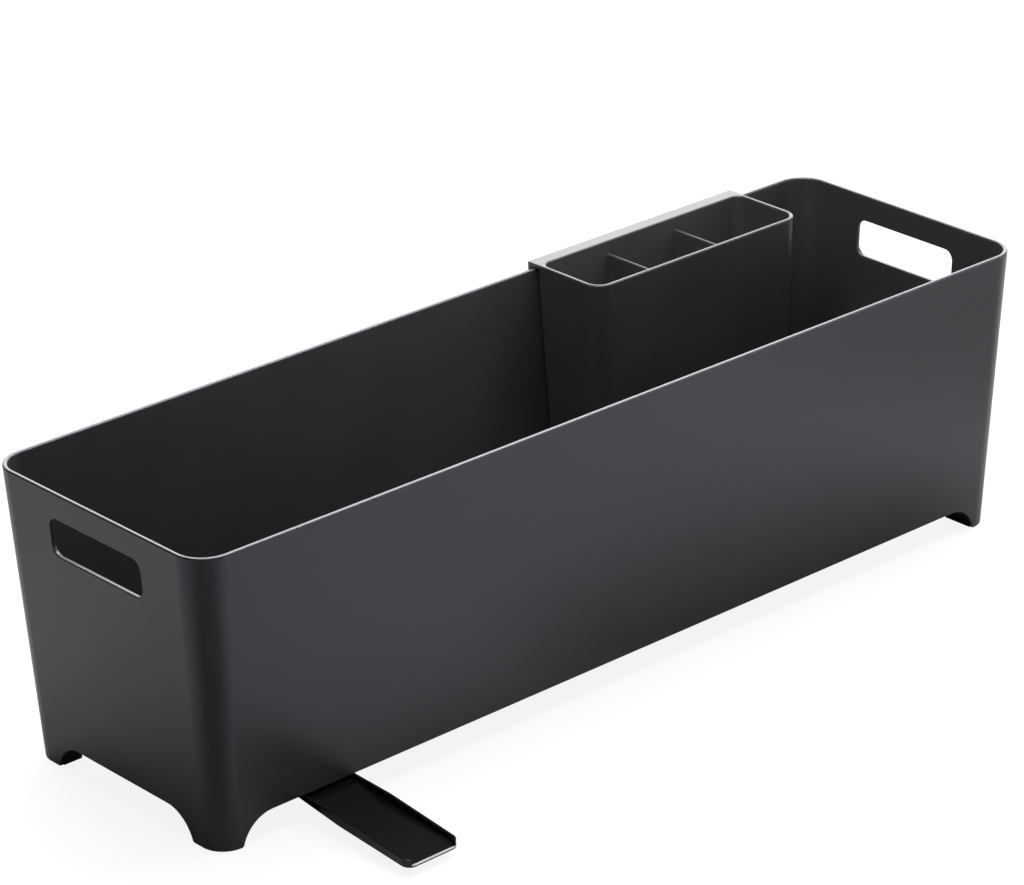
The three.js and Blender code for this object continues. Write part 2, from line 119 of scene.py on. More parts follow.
# Cutlery holder
HOLDER_LENGTH = 135
HOLDER_FROM_END = 47.7
HOLDER_REACH = 46
HOLDER_DEPTH = 88
HOLDER_WALL = 2
HOLDER_FLOOR = 2
HOLDER_DRAFT = math.radians(1.5)
HOLDER_FRONT_RADIUS = 9
HOLDER_BACK_RADIUS = 3
HOLDER_INNER_BACK_RADIUS = 5
HOLDER_BOTTOM_ROUND = 2.5
HOLDER_RIM_ROUND = 0.7
HOLDER_COMPARTMENTS = 3
DIVIDER = 1.6
DIVIDER_DROP = 6.3
HOLE_RADIUS = 2.8
HOLE_PITCH = 10.5
HOLES_EACH_WAY = 3
FLANGE = 2.2
FLANGE_ROUND = 0.4
LIP_DEPTH = 9
LIP = 2.2
LIP_CLEARANCE = 0.9
SEAT_CLEARANCE = 0.3

# Drain grid
GRID_CLEARANCE = 1.2
GRID_DEPTH = 3
GRID_FRAME = 4
GRID_ROUND = 0.6
GRID_BAR = 2.4
GRID_BAR_PITCH = 15
GRID_STRINGER = 3
GRID_STRINGER_PITCH = 36
GRID_STRINGERS = 3
GRID_CORNER_RADIUS = 10
GRID_ABOVE_FLOOR = 8
SUPPORT_LENGTH = 7
SUPPORT_DEPTH = 5
SUPPORT_PITCH = 140
SUPPORTS_EACH_SIDE = 4
FINGER_HEIGHT = 26
FINGER_ROOT_RADIUS = 2.6
FINGER_TIP_RADIUS = 1.7
FINGER_PITCH = 22
FINGERS_EACH_ROW = 5
FINGER_ROWS = 2
FINGER_ROW_FROM_END = 80
FINGER_ROW_SPACING = 105

# Round edges of the pads and the seal, whose meshes come from the CAD model
PAD_ROUND = 0.3
SHARP_ANGLE = math.radians(38)
FLAT_ANGLE = math.radians(0.6)

# Fineness. Points closer than WELD are merged, and cutters run past the faces that they cut.
SMOOTH_ANGLE = math.radians(40)
WELD = 0.01
OVERRUN = 2
FLARE_OVERRUN = 0.2
CORNER_STEPS = 14
ROUND_STEPS = 5
TURN_STEPS = 48
HOLE_STEPS = 20
QUARTER = math.pi / 2

# Finishes. Each has its colour, its roughness, the tint and the strength of its gloss, and the depth and
# the size of its grain.
NEUTRAL = (1, 1, 1)
FINE_GRAIN = (0.02, 0.55)
POLISHED_GRAIN = (0.004, 3)
RUBBER_GRAIN = (0.05, 0.8)
FINISHES = {
    "basket_plastic": ((0.0216, 0.0216, 0.0229), 0.36, (0.98, 0.96, 1.15), 0.5, FINE_GRAIN),
    "holder_plastic": ((0.031, 0.031, 0.032), 0.34, NEUTRAL, 0.25, FINE_GRAIN),
    "grid_plastic": ((0.025, 0.025, 0.026), 0.4, NEUTRAL, 0.5, FINE_GRAIN),
    "spout_plastic": ((0.0075, 0.0075, 0.0075), 0.1, NEUTRAL, 0.32, POLISHED_GRAIN),
    "pad_rubber": ((0.018, 0.018, 0.018), 0.75, NEUTRAL, 0.5, RUBBER_GRAIN),
    "seal_rubber": ((0.018, 0.018, 0.018), 0.7, NEUTRAL, 0.5, RUBBER_GRAIN),
}
SLOW_NOISE_SCALE = 22
SLOW_NOISE_DETAIL = 4
SLOW_NOISE_RANGE = (0.3, 0.7)
TONE_SHARES = (0.92, 1.08)
ROUGHNESS_SHARES = (0.94, 1.06)
GRAIN_DETAIL = 3

# Camera, as solved from the straight edges in the photograph. It slides and lifts square to its view.
CAMERA_AZIMUTH = math.radians(-41.474)
CAMERA_ELEVATION = math.radians(24.102)
CAMERA_ROLL = math.radians(-1.235)
CAMERA_DISTANCE = 2016
CAMERA_SLIDE = -9.886
CAMERA_LIFT = 22.526
CAMERA_AIM_HEIGHT = 72.2
CAMERA_LENS = 153.67
SENSOR_WIDTH = 36

# Lamps, in metres. Each softbox has its azimuth, as the camera's, and its elevation in degrees, its
# distance, its size and its radiance. The edge softbox lights the bevelled edge of the spout's floor. The
# strips hang over the basket and face down, and each has its height and its radiance.
SOFTBOXES = {
    "back_panel": (131.6, 27, 2.6, (3.8, 2.1), 6.1),
    "side_softbox": (46.5, 14, 2.2, (0.8, 1.2), 5),
    "overhead_softbox": (-41.5, 88, 2, (1.6, 1.6), 4.05),
    "edge_softbox": (55.5, 52, 2.2, (0.3, 0.3), 34),
}
STRIP_SIZE = (0.4, 0.08)
STRIP_X = 0.06
STRIPS = {"high_strip": (0.5, 12), "low_strip": (0.33, 9.5)}

# Stage floor. It lies a small gap below the pads, so that it doesn't share a face with them. Each entry
# of painted shade is an oval patch of it that is painted darker, so that the walls reflect painted shade,
# and that the camera doesn't see. It has its middle and its reach in metres, and its share of the floor's
# brightness. The edge share of its reach is where it fades out.
STAGE_SIZE = 8
STAGE_GAP = 0.05
STAGE_ALBEDO = 0.5
PAINTED_SHADE_PATCHES = {
    "left_shade_patch": ((-0.36, -0.17), (0.17, 0.17), 0.4),
    "right_shade_patch": ((0.42, -0.21), (0.17, 0.15), 0.6),
    "front_shade_patch": ((0.12, -0.085), (0.17, 0.055), 0.5),
}
SHADE_PATCH_EDGE_SHARE = 0.3

# The camera sees the stage floor as a glow with a faint shadow on it. The glow rises to white between the
# two fade distances from the middle, in metres.
STAGE_SEEN_ALBEDO = 0.16
STAGE_GLOW = 0.88
STAGE_FADE = (0.7, 1.7)
WHITE = 1

# Worked out from the sizes above
DRAIN_X = DRAIN_FROM_END - RIM_LENGTH / 2
FLOOR_TOP = FLOOR_UNDERSIDE + FLOOR
GRID_UNDERSIDE = FLOOR_TOP + GRID_ABOVE_FLOOR
GRID_TOP = GRID_UNDERSIDE + GRID_DEPTH
NECK_TOP = ARCH_HEIGHT - SPOUT_SKIRT_CLEARANCE
NECK_UNDERSIDE = NECK_TOP - SPOUT_NECK_DEPTH
BEND_TOP = NECK_TOP - SPOUT_BEND_DROP
BEND_UNDERSIDE = BEND_TOP - SPOUT_BEND_DEPTH
TIP_TOP = BEND_TOP - SPOUT_TIP_DROP
TIP_UNDERSIDE = TIP_TOP - SPOUT_TIP_DEPTH
HUB_UNDERSIDE = NECK_UNDERSIDE + SPOUT_HUB_RISE
PLATE_UNDERSIDE = BOSS_END + BEAD_HEIGHT + SEAT_CLEARANCE
PLATE_TOP = PLATE_UNDERSIDE + SPOUT_PLATE
SPOUT_TOP_LINE = [
    (0, PLATE_UNDERSIDE),
    (SPOUT_HUB_RADIUS, PLATE_UNDERSIDE),
    (SPOUT_NECK_REACH, NECK_TOP),
    (SPOUT_BEND_REACH, BEND_TOP),
    (SPOUT_REACH, TIP_TOP),
]
SPOUT_UNDER_LINE = [
    (0, HUB_UNDERSIDE),
    (SPOUT_NECK_REACH, NECK_UNDERSIDE),
    (SPOUT_BEND_REACH, BEND_UNDERSIDE),
    (SPOUT_REACH, TIP_UNDERSIDE),
]
CHANNEL_LINE = [(reach, height + SPOUT_FLOOR) for reach, height in SPOUT_UNDER_LINE]
HOLDER_RIGHT = RIM_LENGTH / 2 - HOLDER_FROM_END
HOLDER_LEFT = HOLDER_RIGHT - HOLDER_LENGTH
HOLDER_TOP = RIM_HEIGHT + SEAT_CLEARANCE + FLANGE
HOLDER_BOTTOM = HOLDER_TOP - HOLDER_DEPTH
HOLDER_FRONT = RIM_WIDTH / 2 - HOLDER_REACH
LIP_INNER = RIM_WIDTH / 2 + LIP_CLEARANCE
LIP_OUTER = LIP_INNER + LIP
ORIGIN_Y = (LIP_OUTER - SPOUT_REACH) / 2


# The basket's outer sizes at a height

def half_length(z):
    return RIM_LENGTH / 2 - math.tan(END_DRAFT) * (RIM_HEIGHT - z)


def half_width(z):
    return RIM_WIDTH / 2 - math.tan(SIDE_DRAFT) * (RIM_HEIGHT - z)


def corner_radius(z):
    change = (RIM_CORNER_RADIUS - FOOT_CORNER_RADIUS) / RIM_HEIGHT
    return RIM_CORNER_RADIUS - change * (RIM_HEIGHT - z)


# Solid tools

@contextmanager
def edited(mesh):
    """Opens a mesh for editing, and puts the changes back into it at the end."""
    work = bmesh.new()
    work.from_mesh(mesh)
    yield work
    work.to_mesh(mesh)
    work.free()


def weld(work):
    """Merges the points that are as good as equal."""
    bmesh.ops.remove_doubles(work, verts=work.verts, dist=WELD)


def closed(points, faces):
    """A closed mesh in millimetres, with equal points merged and its faces turned outward."""
    mesh = bpy.data.meshes.new("solid")
    mesh.from_pydata(points, [], faces)
    with edited(mesh) as work:
        weld(work)
        bmesh.ops.recalc_face_normals(work, faces=work.faces)
    return mesh


def skin(rings, strips=False):
    """Skins rings of matching points. The ends are closed with one face, or with strips across y."""
    count = len(rings[0])
    points = [point for ring in rings for point in ring]
    faces = []
    for level in range(len(rings) - 1):
        for i in range(count):
            a = level * count + i
            b = level * count + (i + 1) % count
            faces.append((a, b, b + count, a + count))
    for start in (0, len(points) - count):
        if strips:
            for i in range(count // 2 - 1):
                faces.append((start + i, start + i + 1, start + count - 2 - i, start + count - 1 - i))
        else:
            faces.append(tuple(range(start, start + count)))
    return closed(points, faces)


def loop_skin(rings):
    """Skins rings of matching points all the way round, as a frame."""
    count = len(rings[0])
    points = [point for ring in rings for point in ring]
    faces = []
    for level in range(len(rings)):
        low, high = level * count, (level + 1) % len(rings) * count
        for i in range(count):
            b = (i + 1) % count
            faces.append((low + i, low + b, high + b, high + i))
    return closed(points, faces)


def turned(profile, steps=TURN_STEPS):
    """Turns a profile of (radius, z) points about z, and closes both ends with a disc."""
    angles = [2 * math.pi * step / steps for step in range(steps)]
    return skin([[(radius * math.cos(a), radius * math.sin(a), z) for a in angles] for radius, z in profile])


def block(x, y, z, rounding=0):
    """A block over three spans, with its edges rounded."""
    points = [(a, b, c) for a in x for b in y for c in z]
    faces = [(0, 1, 3, 2), (4, 6, 7, 5), (0, 4, 5, 1), (2, 3, 7, 6), (0, 2, 6, 4), (1, 5, 7, 3)]
    mesh = closed(points, faces)
    if rounding:
        with edited(mesh) as work:
            bmesh.ops.bevel(
                work, geom=work.edges[:], offset=rounding, offset_type="OFFSET", segments=ROUND_STEPS,
                profile=1 / 2, affect="EDGES",
            )
    return mesh


def moved(mesh, x=0, y=0, z=0):
    copy = mesh.copy()
    copy.transform(Matrix.Translation((x, y, z)))
    return copy


def gathered(meshes):
    """One mesh that holds all the others as they are."""
    work = bmesh.new()
    for mesh in meshes:
        work.from_mesh(mesh)
    whole = bpy.data.meshes.new("solids")
    work.to_mesh(whole)
    work.free()
    return whole


def combined(base, operation, *tools):
    """Joins the tools to a solid, cuts them out of it, or keeps what they share with it, one by one."""
    scene = bpy.context.scene.collection
    for tool in tools:
        body, helper = bpy.data.objects.new("body", base), bpy.data.objects.new("tool", tool)
        scene.objects.link(body)
        scene.objects.link(helper)
        change = body.modifiers.new("change", "BOOLEAN")
        change.solver = "MANIFOLD"
        change.operation = operation
        change.object = helper
        graph = bpy.context.evaluated_depsgraph_get()
        base = bpy.data.meshes.new_from_object(body.evaluated_get(graph))
        with edited(base) as work:
            weld(work)
        bpy.data.objects.remove(body)
        bpy.data.objects.remove(helper)
    return base


def quarter_round(radius):
    """Points (depth, offset) of a round edge, from flush with the face to flush with the side."""
    angles = [QUARTER * step / ROUND_STEPS for step in range(ROUND_STEPS + 1)]
    return [(radius * (1 - math.cos(a)), radius * (1 - math.sin(a))) for a in angles]


def flared(outline_at, place, thickness):
    """A cutter through a wall that rounds the opening's edges on both faces.

    outline_at(offset) gives the opening's (u, v) points, and place(u, v, depth) puts one at a depth
    below the wall's outer face.
    """
    near = quarter_round(EDGE_ROUND)
    slope = (near[0][1] - near[1][1]) / (near[1][0] - near[0][0])
    near.insert(0, (-FLARE_OVERRUN, near[0][1] + slope * FLARE_OVERRUN))
    far = [(thickness - depth, offset) for depth, offset in reversed(near)]
    return skin([[place(u, v, depth) for u, v in outline_at(offset)] for depth, offset in near + far])


# Outlines

def arc(x, y, radius, start, end, steps=CORNER_STEPS):
    angles = [start + (end - start) * step / steps for step in range(steps + 1)]
    return [(x + radius * math.cos(a), y + radius * math.sin(a)) for a in angles]


def rounded(left, right, front, back, front_radius, back_radius, stations=()):
    """A rounded rectangle, counter-clockwise from the right end, with extra points at the stations."""
    return [
        *arc(right - back_radius, back - back_radius, back_radius, 0, QUARTER),
        *[(x, back) for x in stations],
        *arc(left + back_radius, back - back_radius, back_radius, QUARTER, 2 * QUARTER),
        *arc(left + front_radius, front + front_radius, front_radius, 2 * QUARTER, 3 * QUARTER),
        *[(x, front) for x in reversed(stations)],
        *arc(right - front_radius, front + front_radius, front_radius, 3 * QUARTER, 4 * QUARTER),
    ]


def slot_outline(offset):
    low = RIM_HEIGHT - SLOT_BELOW_RIM - SLOT_HEIGHT - offset
    high = RIM_HEIGHT - SLOT_BELOW_RIM + offset
    half, radius = SLOT_WIDTH / 2 + offset, SLOT_RADIUS + offset
    return rounded(-half, half, low, high, radius, radius)


def arch_outline(half_span, offset):
    """The opening between two legs, whose round corners run down to the feet's round edges."""
    middle, height = half_span - ARCH_RADIUS, ARCH_HEIGHT - ARCH_RADIUS
    foot_height, reach = PAD_PROUD + FOOT_EDGE_RADIUS, ARCH_RADIUS + FOOT_EDGE_RADIUS
    lean = math.asin(max(foot_height - height, 0) / reach)
    foot = middle + reach * math.cos(lean)
    right = [
        (foot, PAD_PROUD - OVERRUN),
        *arc(foot, foot_height, FOOT_EDGE_RADIUS - offset, 3 * QUARTER, 2 * QUARTER + lean),
        *arc(middle, height, ARCH_RADIUS + offset, lean, QUARTER),
    ]
    return right + [(-u, v) for u, v in reversed(right)]


# Basket

def basket_ring(z, inset, fall=0):
    """The walls' outline at a height, or at a height that rises away from the drain by the fall."""
    half_x, half_y = half_length(z) - inset, half_width(z) - inset
    radius = corner_radius(z) - inset
    points = rounded(-half_x, half_x, -half_y, half_y, radius, radius, [DRAIN_X])
    return [(x, y, z + fall * abs(x - DRAIN_X)) for x, y in points]


def grid_supports():
    blocks = []
    inner = half_width(GRID_UNDERSIDE) - WALL - SUPPORT_DEPTH
    height = (FLOOR_UNDERSIDE, GRID_UNDERSIDE - SEAT_CLEARANCE)
    for index in range(SUPPORTS_EACH_SIDE):
        x = (index - (SUPPORTS_EACH_SIDE - 1) / 2) * SUPPORT_PITCH
        for y in ((-RIM_WIDTH / 2, -inner), (inner, RIM_WIDTH / 2)):
            blocks.append(block((x - SUPPORT_LENGTH / 2, x + SUPPORT_LENGTH / 2), y, height, EDGE_ROUND))
    return gathered(blocks)


def basket_hollow():
    fall = math.tan(FLOOR_FALL)
    rings = []
    for depth, offset in quarter_round(FLOOR_FILLET):
        rings.append(basket_ring(FLOOR_TOP + depth, WALL + offset, fall))
    for depth, offset in reversed(quarter_round(RIM_ROUND)):
        rings.append(basket_ring(RIM_HEIGHT - depth, WALL - offset))
    rings.append(basket_ring(RIM_HEIGHT + OVERRUN, WALL - RIM_ROUND))
    return combined(skin(rings, strips=True), "DIFFERENCE", grid_supports())


def basket_envelope():
    rings = [basket_ring(PAD_PROUD + depth, offset) for depth, offset in quarter_round(FOOT_ROUND)]
    for depth, offset in reversed(quarter_round(RIM_ROUND)):
        rings.append(basket_ring(RIM_HEIGHT - depth, offset))
    return skin(rings, strips=True)


def foot_webs():
    low, high = PAD_HEIGHT + PAD_CLEARANCE, PAD_HEIGHT + PAD_CLEARANCE + FOOT_WEB
    slab = skin([basket_ring(low, WALL / 2), basket_ring(high, WALL / 2)], strips=True)
    x_near, y_near = half_length(0) - SIDE_LEG_WIDTH, half_width(0) - END_LEG_WIDTH
    corners = []
    for x in ((-RIM_LENGTH / 2, -x_near), (x_near, RIM_LENGTH / 2)):
        for y in ((-RIM_WIDTH / 2, -y_near), (y_near, RIM_WIDTH / 2)):
            corners.append(block(x, y, (low - OVERRUN, high + OVERRUN)))
    return combined(slab, "INTERSECT", gathered(corners))


def drain_boss():
    boss = turned([
        (BOSS_RADIUS, BOSS_END),
        (BEAD_RADIUS, BOSS_END + BEAD_HEIGHT / 2),
        (BEAD_RADIUS, BOSS_END + BEAD_HEIGHT),
        (BOSS_RADIUS, BOSS_END + BEAD_HEIGHT),
        (BOSS_RADIUS, BOSS_SEAT),
        (SEAT_RADIUS, BOSS_SEAT),
        (SEAT_RADIUS, FLOOR_UNDERSIDE + FLOOR / 2),
    ])
    half, reach = SLIT_WIDTH / 2, BEAD_RADIUS + OVERRUN
    height = (BOSS_END - OVERRUN, BOSS_END + SLIT_HEIGHT)
    slits = [block((-half, half), (-reach, reach), height), block((-reach, reach), (-half, half), height)]
    return moved(combined(boss, "DIFFERENCE", *slits), DRAIN_X)


def drain_bore():
    profile = [(DRAIN_BORE_RADIUS, BOSS_END - OVERRUN)]
    for depth, offset in reversed(quarter_round(DRAIN_MOUTH_ROUND)):
        profile.append((DRAIN_BORE_RADIUS + offset, FLOOR_TOP - depth))
    profile.append((DRAIN_BORE_RADIUS + DRAIN_MOUTH_ROUND, FLOOR_TOP + OVERRUN))
    return moved(turned(profile), DRAIN_X)


def wall_cutters(side):
    """The arch in one long wall, and the arch and the hand slot in one end wall."""
    def past_side(u, v, depth):
        return (u, side * (half_width(v) - depth), v)

    def past_end(u, v, depth):
        return (side * (half_length(v) - depth), u, v)

    side_span, end_span = half_length(0) - SIDE_LEG_WIDTH, half_width(0) - END_LEG_WIDTH
    return [
        flared(lambda offset: arch_outline(side_span, offset), past_side, WALL),
        flared(lambda offset: arch_outline(end_span, offset), past_end, WALL),
        flared(slot_outline, past_end, WALL),
    ]


def basket():
    under_floor = skin([
        basket_ring(PAD_PROUD - OVERRUN, WALL),
        basket_ring(FLOOR_UNDERSIDE, WALL, math.tan(FLOOR_FALL)),
    ], strips=True)
    shell = combined(basket_envelope(), "DIFFERENCE", basket_hollow(), under_floor)
    shell = combined(shell, "UNION", foot_webs(), drain_boss())
    return combined(shell, "DIFFERENCE", drain_bore(), *wall_cutters(-1), *wall_cutters(1))


# Spout. In its (u, v) points, u runs out from the drain's axis and v runs across.

def height_along(profile, u):
    """The height at u on a line of (u, height) points, which runs on straight past its ends."""
    passed = [index for index, (station, _) in enumerate(profile[:-1]) if station <= u]
    start = passed[-1] if passed else 0
    (u_before, before), (u_after, after) = profile[start:start + 2]
    return before + (after - before) * (u - u_before) / (u_after - u_before)


def spout_outside():
    """The spout's outside as one solid, from inside the hub to the tip."""
    stations = (SPOUT_BEND_REACH, SPOUT_NECK_REACH, SPOUT_HUB_RADIUS)
    rounding = quarter_round(SPOUT_ROUND)
    edges = [(SPOUT_UNDER_LINE, depth, offset) for depth, offset in rounding]
    edges += [(SPOUT_TOP_LINE, -depth, offset) for depth, offset in reversed(rounding)]
    rings = []
    for profile, rise, inset in edges:
        half, radius = SPOUT_WIDTH / 2 - inset, SPOUT_TIP_RADIUS - inset
        ends = (SPOUT_ROOT_REACH + inset, SPOUT_REACH - inset)
        plan = rounded(*ends, -half, half, radius, radius, stations)
        rings.append([(v, -u, height_along(profile, u) + rise) for u, v in plan])
    return skin(rings, strips=True)


def channel_plan(offset):
    """Half the channel's plan, from past the tip back to the hub, and then its mirror image."""
    u, v = SPOUT_REACH - SPOUT_TIP_RADIUS, SPOUT_WIDTH / 2 - SPOUT_TIP_RADIUS
    radius = SPOUT_TIP_RADIUS - SPOUT_WALL + offset
    mouth = SPOUT_WIDTH / 2 - SPOUT_MOUTH_INSET + offset
    half = SPOUT_WIDTH / 2 - SPOUT_WALL + offset
    side = [
        (SPOUT_REACH + OVERRUN, mouth),
        *arc(u, v, radius, math.asin((mouth - v) / radius), QUARTER),
        *[(station, half) for station in (SPOUT_BEND_REACH, SPOUT_NECK_REACH, SPOUT_HUB_RADIUS)],
    ]
    return side + [(u, -v) for u, v in reversed(side)]


def under_plate(plan):
    """Adds the four points under the hub's plate to a plan, and says of each point if it is one of them."""
    half = len(plan) // 2
    (u, v), start = plan[half - 1], SPOUT_ROOT_REACH
    covered = [(u, v, True), (start, v, True), (start, -v, True), (u, -v, True)]
    return [(*point, False) for point in plan[:half]] + covered + [(*point, False) for point in plan[half:]]


def spout_channel():
    """A cutter for the channel, its round lips and the mouth, which stays below the hub's plate."""
    levels = [(CHANNEL_LINE, depth, -offset) for depth, offset in quarter_round(SPOUT_FILLET)]
    levels += [(SPOUT_TOP_LINE, -depth, offset) for depth, offset in reversed(quarter_round(SPOUT_ROUND))]
    levels.append((SPOUT_TOP_LINE, OVERRUN, SPOUT_ROUND))
    rings = []
    for profile, rise, offset in levels:
        ring = []
        for u, v, covered in under_plate(channel_plan(offset)):
            height = height_along(profile, u) + rise
            ring.append((v, -u, min(height, PLATE_UNDERSIDE) if covered else height))
        rings.append(ring)
    return skin(rings, strips=True)


def eased(points, reach):
    """A line of points whose inner corners are rounded off, from a reach before to a reach after."""
    line = [Vector(point) for point in points]
    smooth = [line[0]]
    for before, corner, after in zip(line, line[1:], line[2:]):
        start = corner + (before - corner).normalized() * reach
        end = corner + (after - corner).normalized() * reach
        for step in range(ROUND_STEPS + 1):
            share = step / ROUND_STEPS
            smooth.append(start.lerp(corner, share).lerp(corner.lerp(end, share), share))
    return [tuple(point) for point in (*smooth, line[-1])]


def spout_nose():
    """A cutter that bevels the floor's front edge, over which the water runs off."""
    back, past = SPOUT_REACH - SPOUT_NOSE, SPOUT_REACH + OVERRUN
    slope = SPOUT_NOSE_DROP / SPOUT_NOSE
    before = back - OVERRUN
    bevel = eased([
        (before, height_along(CHANNEL_LINE, before)),
        (back, height_along(CHANNEL_LINE, back)),
        (past, height_along(CHANNEL_LINE, back) - slope * (past - back)),
    ], SPOUT_NOSE_EASE)
    side_view = [*bevel, (past, BEND_TOP), (before, BEND_TOP)]
    half = SPOUT_WIDTH / 2 - SPOUT_MOUTH_INSET
    return skin([[(v, -u, z) for u, z in side_view] for v in (-half, half)])


def spout():
    rounding = quarter_round(SPOUT_ROUND)
    bore = BOSS_RADIUS + SPOUT_RUNNING_CLEARANCE
    hub = [(SPOUT_HUB_RADIUS - offset, HUB_UNDERSIDE + depth) for depth, offset in rounding]
    hub += [(SPOUT_HUB_RADIUS - offset, PLATE_TOP - depth) for depth, offset in reversed(rounding)]
    mouth = [(bore, PLATE_UNDERSIDE - OVERRUN)]
    mouth += [(bore + offset, PLATE_TOP - depth) for depth, offset in reversed(rounding)]
    mouth.append((bore + SPOUT_ROUND, PLATE_TOP + OVERRUN))
    radius = SPOUT_HUB_RADIUS - SPOUT_WALL
    dish = turned([(radius, HUB_UNDERSIDE + SPOUT_FLOOR), (radius, PLATE_UNDERSIDE)])
    whole = combined(spout_outside(), "UNION", turned(hub))
    whole = combined(whole, "DIFFERENCE", spout_channel(), dish, turned(mouth), spout_nose())
    return moved(whole, DRAIN_X)


# Cutlery holder

def holder_ring(z, inset, front_radius, back_radius):
    lean = math.tan(HOLDER_DRAFT) * (HOLDER_TOP - z) + inset
    back = half_width(min(z, RIM_HEIGHT)) - WALL - SEAT_CLEARANCE - inset
    points = rounded(
        HOLDER_LEFT + lean, HOLDER_RIGHT - lean, HOLDER_FRONT + lean, back, front_radius, back_radius,
    )
    return [(x, y, z) for x, y in points]


def holder_box():
    radii = (HOLDER_FRONT_RADIUS, HOLDER_BACK_RADIUS)
    rings = []
    for depth, offset in quarter_round(HOLDER_BOTTOM_ROUND):
        rings.append(holder_ring(HOLDER_BOTTOM + depth, offset, *radii))
    rings.append(holder_ring(RIM_HEIGHT, 0, *radii))
    for depth, offset in reversed(quarter_round(HOLDER_RIM_ROUND)):
        rings.append(holder_ring(HOLDER_TOP - depth, offset, *radii))
    return skin(rings, strips=True)


def holder_hollow():
    radii = (HOLDER_FRONT_RADIUS - HOLDER_WALL, HOLDER_INNER_BACK_RADIUS)
    floor = HOLDER_BOTTOM + HOLDER_FLOOR
    rings = []
    for depth, offset in quarter_round(HOLDER_BOTTOM_ROUND):
        rings.append(holder_ring(floor + depth, HOLDER_WALL + offset, *radii))
    rings.append(holder_ring(RIM_HEIGHT, HOLDER_WALL, *radii))
    for depth, offset in reversed(quarter_round(HOLDER_RIM_ROUND)):
        rings.append(holder_ring(HOLDER_TOP - depth, HOLDER_WALL - offset, *radii))
    rings.append(holder_ring(HOLDER_TOP + OVERRUN, HOLDER_WALL - HOLDER_RIM_ROUND, *radii))
    dividers = []
    for index in range(1, HOLDER_COMPARTMENTS):
        x = HOLDER_LEFT + HOLDER_LENGTH / HOLDER_COMPARTMENTS * index
        half = DIVIDER / 2
        round_top = arc(x, HOLDER_TOP - DIVIDER_DROP - half, half, 0, 2 * QUARTER)
        side_view = [(x + half, HOLDER_BOTTOM), *round_top, (x - half, HOLDER_BOTTOM)]
        dividers.append(skin([[(u, y, v) for u, v in side_view] for y in (HOLDER_FRONT, RIM_WIDTH / 2)]))
    return combined(skin(rings, strips=True), "DIFFERENCE", gathered(dividers))


def holder_holes():
    front = HOLDER_FRONT + math.tan(HOLDER_DRAFT) * HOLDER_DEPTH
    back = half_width(HOLDER_BOTTOM) - WALL - SEAT_CLEARANCE
    low, high = HOLDER_BOTTOM - OVERRUN, HOLDER_BOTTOM + HOLDER_FLOOR + OVERRUN
    hole = turned([(HOLE_RADIUS, low), (HOLE_RADIUS, high)], HOLE_STEPS)
    steps = [(index - (HOLES_EACH_WAY - 1) / 2) * HOLE_PITCH for index in range(HOLES_EACH_WAY)]
    holes = []
    for compartment in range(HOLDER_COMPARTMENTS):
        middle = HOLDER_LEFT + HOLDER_LENGTH / HOLDER_COMPARTMENTS * (compartment + 1 / 2)
        for row in steps:
            for column in steps:
                holes.append(moved(hole, middle + column, (front + back) / 2 + row))
    return gathered(holes)


def holder():
    inner = half_width(RIM_HEIGHT) - WALL - SEAT_CLEARANCE - HOLDER_WALL
    length = (HOLDER_LEFT, HOLDER_RIGHT)
    flange = block(length, (inner, LIP_OUTER), (HOLDER_TOP - FLANGE, HOLDER_TOP), FLANGE_ROUND)
    lip = block(length, (LIP_INNER, LIP_OUTER), (HOLDER_TOP - LIP_DEPTH, HOLDER_TOP), FLANGE_ROUND)
    whole = combined(holder_box(), "UNION", flange, lip)
    return combined(whole, "DIFFERENCE", holder_hollow(), holder_holes())


# Drain grid

def grid_outline(z, inset):
    half_x = half_length(GRID_UNDERSIDE) - WALL - GRID_CLEARANCE - inset
    half_y = half_width(GRID_UNDERSIDE) - WALL - GRID_CLEARANCE - inset
    radius = GRID_CORNER_RADIUS - inset
    return [(x, y, z) for x, y in rounded(-half_x, half_x, -half_y, half_y, radius, radius)]


def grid_frame():
    corner = quarter_round(GRID_ROUND)
    back_again = corner[::-1]
    profile = [(offset, GRID_TOP - depth) for depth, offset in back_again]
    profile += [(GRID_FRAME - offset, GRID_TOP - depth) for depth, offset in corner]
    profile += [(GRID_FRAME - offset, GRID_UNDERSIDE + depth) for depth, offset in back_again]
    profile += [(offset, GRID_UNDERSIDE + depth) for depth, offset in corner]
    return loop_skin([grid_outline(z, inset) for inset, z in profile])


def finger():
    root, tip = FINGER_ROOT_RADIUS, FINGER_TIP_RADIUS
    dome = arc(0, GRID_TOP + FINGER_HEIGHT - tip, tip, 0, QUARTER, ROUND_STEPS)
    return turned([(root, GRID_UNDERSIDE), (root, GRID_TOP), *dome[:-1]], HOLE_STEPS)


